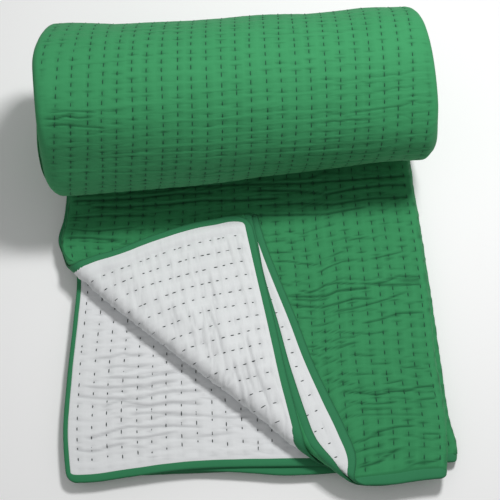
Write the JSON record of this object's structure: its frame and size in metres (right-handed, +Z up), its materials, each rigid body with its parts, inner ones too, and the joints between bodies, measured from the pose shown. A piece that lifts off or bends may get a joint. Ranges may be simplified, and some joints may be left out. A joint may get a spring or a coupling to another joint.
{
  "type": "kantha quilt",
  "caption": "Hand-stitched cotton quilt, folded into a stack of layers and rolled, with a flat tail in front whose corner is turned back to show the white side.",
  "frame": {"origin": "centre of the bounding box's footprint, on the surface that the quilt lies on", "axes": "+X across the tail, along the roll, +Y from the tail's front hem back to the roll, +Z up"},
  "size_m": [0.4084, 0.4864, 0.1931],
  "materials": {
    "green_cotton": "plain green cotton with rows of hand running stitches",
    "white_cotton": "plain white cotton with rows of hand running stitches",
    "green_binding": "smooth green cotton strip"
  },
  "bodies": {
    "root": {"rolled_quilt": "green_cotton", "tail_top_face_cloth": "green_cotton", "tail_top_backing_cloth": "white_cotton", "tail_top_binding": "green_binding", "tail_base_face_cloth": "green_cotton", "tail_base_backing_cloth": "white_cotton", "tail_base_binding": "green_binding"}
  },
  "joints": []
}
